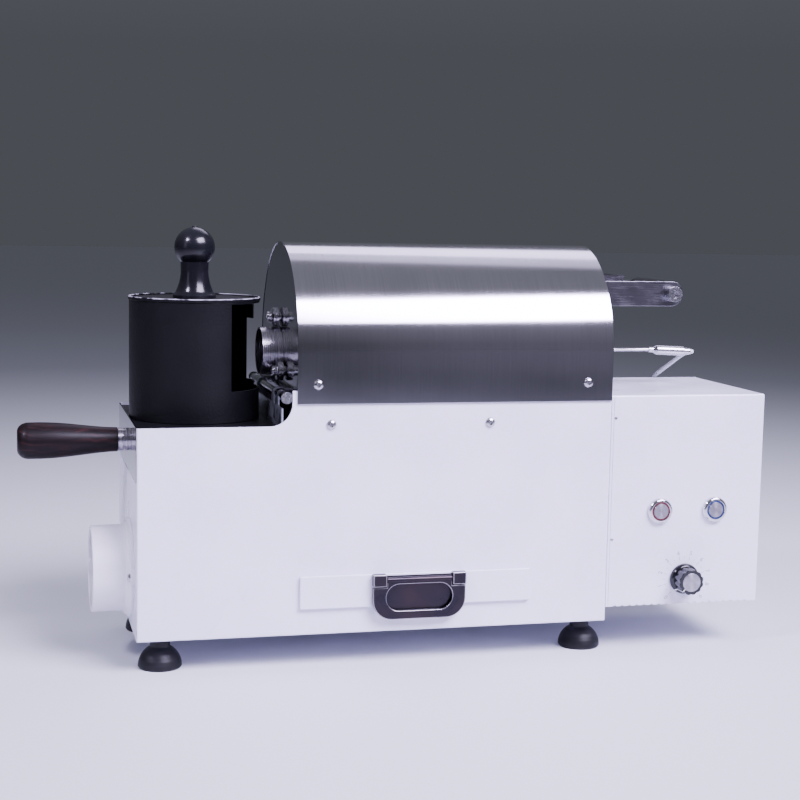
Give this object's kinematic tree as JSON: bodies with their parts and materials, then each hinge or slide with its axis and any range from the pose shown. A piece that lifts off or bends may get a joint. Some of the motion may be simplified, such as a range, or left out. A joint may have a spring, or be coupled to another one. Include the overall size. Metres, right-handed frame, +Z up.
{
  "type": "home coffee bean roaster",
  "caption": "Countertop drum roaster for coffee beans: arched steel cover over a turning drum on a tilting head, lift-off black hood, cooling drawer, chaff tray and a control box.",
  "frame": {"origin": "on the table, under the middle of the whole part's bounding box", "axes": "+X to the right along the body towards the control box, +Y from the front panel to the rear panel, +Z up"},
  "size_m": [0.614, 0.1906, 0.3491],
  "materials": {
    "white_enamel": "glossy powder coat",
    "brushed_stainless": "brushed along the drum's axis",
    "polished_stainless": "mirror polish",
    "satin_stainless": "satin",
    "galvanised_steel": "matte",
    "screw_steel": "bright",
    "black_wrinkle": "wrinkle finish",
    "black_phenolic": "gloss",
    "black_plastic": "matte",
    "rosewood": "oiled",
    "black_rubber": "satin",
    "white_plastic": "moulded",
    "nickel": "satin nickel plate",
    "spun_steel": "spun",
    "brass": "machined",
    "motor_steel": "black oxide",
    "red_lens": "lit lens",
    "blue_lens": "lit lens",
    "circuit_green": "solder mask",
    "white_lead": "braided sleeve"
  },
  "bodies": {
    "root": {"front_panel": "white_enamel", "rear_panel": "white_enamel", "base_tray": "white_enamel", "left_end_panel": "white_enamel", "well_deck": "black_wrinkle", "partition": "galvanised_steel", "heat_liner": "satin_stainless", "heating_tubes": "motor_steel", "runners": "galvanised_steel", "body_screws": "screw_steel", "rubber_feet": "black_rubber", "duct_collar": "white_plastic", "blower_housing": "galvanised_steel", "fan_motor": "motor_steel", "hinge_pin": "screw_steel", "control_chassis": "white_enamel", "control_cover": "white_enamel", "power_inlet": "black_plastic", "lead_gland": "black_plastic", "circuit_board": "circuit_green", "dial_potentiometer": "motor_steel", "button_cases": "polished_stainless", "power_button_ring": "red_lens", "cooling_button_ring": "blue_lens", "probe_lead": "white_lead"},
    "fan": {"fan_rotor": "black_plastic"},
    "power_cap": {"power_button": "spun_steel"},
    "cooling_cap": {"cooling_button": "spun_steel"},
    "dial": {"dial_knob": "black_plastic"},
    "cooling_drawer": {"drawer_box": "satin_stainless", "drawer_plate": "polished_stainless", "handle_ferrule": "polished_stainless", "wooden_handle": "rosewood", "handle_bolt": "screw_steel"},
    "chaff_drawer": {"chaff_tray": "white_enamel", "pull_plate": "nickel"},
    "pull": {"folding_pull": "nickel"},
    "hood": {"smoke_hood": "black_wrinkle", "ball_knob": "black_phenolic"},
    "roasting_head": {"drum_cover": "brushed_stainless", "left_end_plate": "polished_stainless", "right_end_plate": "brushed_stainless", "drive_bulkhead": "satin_stainless", "cover_screws": "screw_steel", "roller_bolts": "screw_steel", "bean_chute": "satin_stainless", "hopper": "satin_stainless", "lever_bar": "satin_stainless", "lever_grip": "black_phenolic", "lever_bolt": "screw_steel", "probe": "screw_steel", "gear_motor": "motor_steel"},
    "drum": {"drum_shell": "satin_stainless", "drum_spider": "satin_stainless", "drum_gear": "brass"},
    "pinion": {"motor_pinion": "brass"},
    "roller_top": {"top_roller": "screw_steel"},
    "roller_front": {"front_roller": "screw_steel"},
    "roller_rear": {"rear_roller": "screw_steel"}
  },
  "joints": [
    {"name": "head_tilt", "type": "hinge", "parent": "root", "child": "roasting_head", "pos_m": [-0.10225, 0.00595, 0.217], "axis": [0, -1, 0], "range_deg": [0, 10], "deforming": ["probe_lead"]},
    {"name": "drum_spin", "type": "hinge", "parent": "roasting_head", "child": "drum", "pos_m": [0.02075, 0.00595, 0.247], "axis": [1, 0, 0], "continuous": true},
    {"name": "pinion_spin", "type": "hinge", "parent": "roasting_head", "child": "pinion", "pos_m": [0.13575, 0.03305, 0.247], "axis": [1, 0, 0], "continuous": true},
    {"name": "roller_top_spin", "type": "hinge", "parent": "roasting_head", "child": "roller_top", "pos_m": [-0.09825, 0.00595, 0.2753], "axis": [1, 0, 0], "continuous": true},
    {"name": "roller_front_spin", "type": "hinge", "parent": "roasting_head", "child": "roller_front", "pos_m": [-0.09825, -0.01856, 0.23285], "axis": [1, 0, 0], "continuous": true},
    {"name": "roller_rear_spin", "type": "hinge", "parent": "roasting_head", "child": "roller_rear", "pos_m": [-0.09825, 0.03046, 0.23285], "axis": [1, 0, 0], "continuous": true},
    {"name": "hood_lift", "type": "slide", "parent": "root", "child": "hood", "axis": [0, 0, 1], "range_m": [0, 0.15]},
    {"name": "drawer_slide", "type": "slide", "parent": "root", "child": "cooling_drawer", "axis": [-1, 0, 0], "range_m": [0, 0.095]},
    {"name": "tray_slide", "type": "slide", "parent": "root", "child": "chaff_drawer", "axis": [0, -1, 0], "range_m": [0, 0.13]},
    {"name": "pull_swing", "type": "hinge", "parent": "chaff_drawer", "child": "pull", "pos_m": [0.0055, -0.08625, 0.0706], "axis": [-1, 0, 0], "range_deg": [0, 80]},
    {"name": "fan_spin", "type": "hinge", "parent": "root", "child": "fan", "pos_m": [-0.15525, 0.01745, 0.067], "axis": [0, 0, 1], "continuous": true},
    {"name": "power_press", "type": "slide", "parent": "root", "child": "power_cap", "axis": [0, 1, 0], "range_m": [0, 0.0015], "stiffness_N_per_m": 600, "springref_m": -0.0015},
    {"name": "cooling_press", "type": "slide", "parent": "root", "child": "cooling_cap", "axis": [0, 1, 0], "range_m": [0, 0.0015], "stiffness_N_per_m": 600, "springref_m": -0.0015},
    {"name": "dial_turn", "type": "hinge", "parent": "root", "child": "dial", "pos_m": [0.23905, -0.07955, 0.0602], "axis": [0, 1, 0], "range_deg": [0, 270]}
  ],
  "couplings": [
    {"joint": "pinion_spin", "follows": "drum_spin", "ratio": -2},
    {"joint": "roller_top_spin", "follows": "drum_spin", "ratio": -2.5},
    {"joint": "roller_front_spin", "follows": "drum_spin", "ratio": -2.5},
    {"joint": "roller_rear_spin", "follows": "drum_spin", "ratio": -2.5}
  ]
}
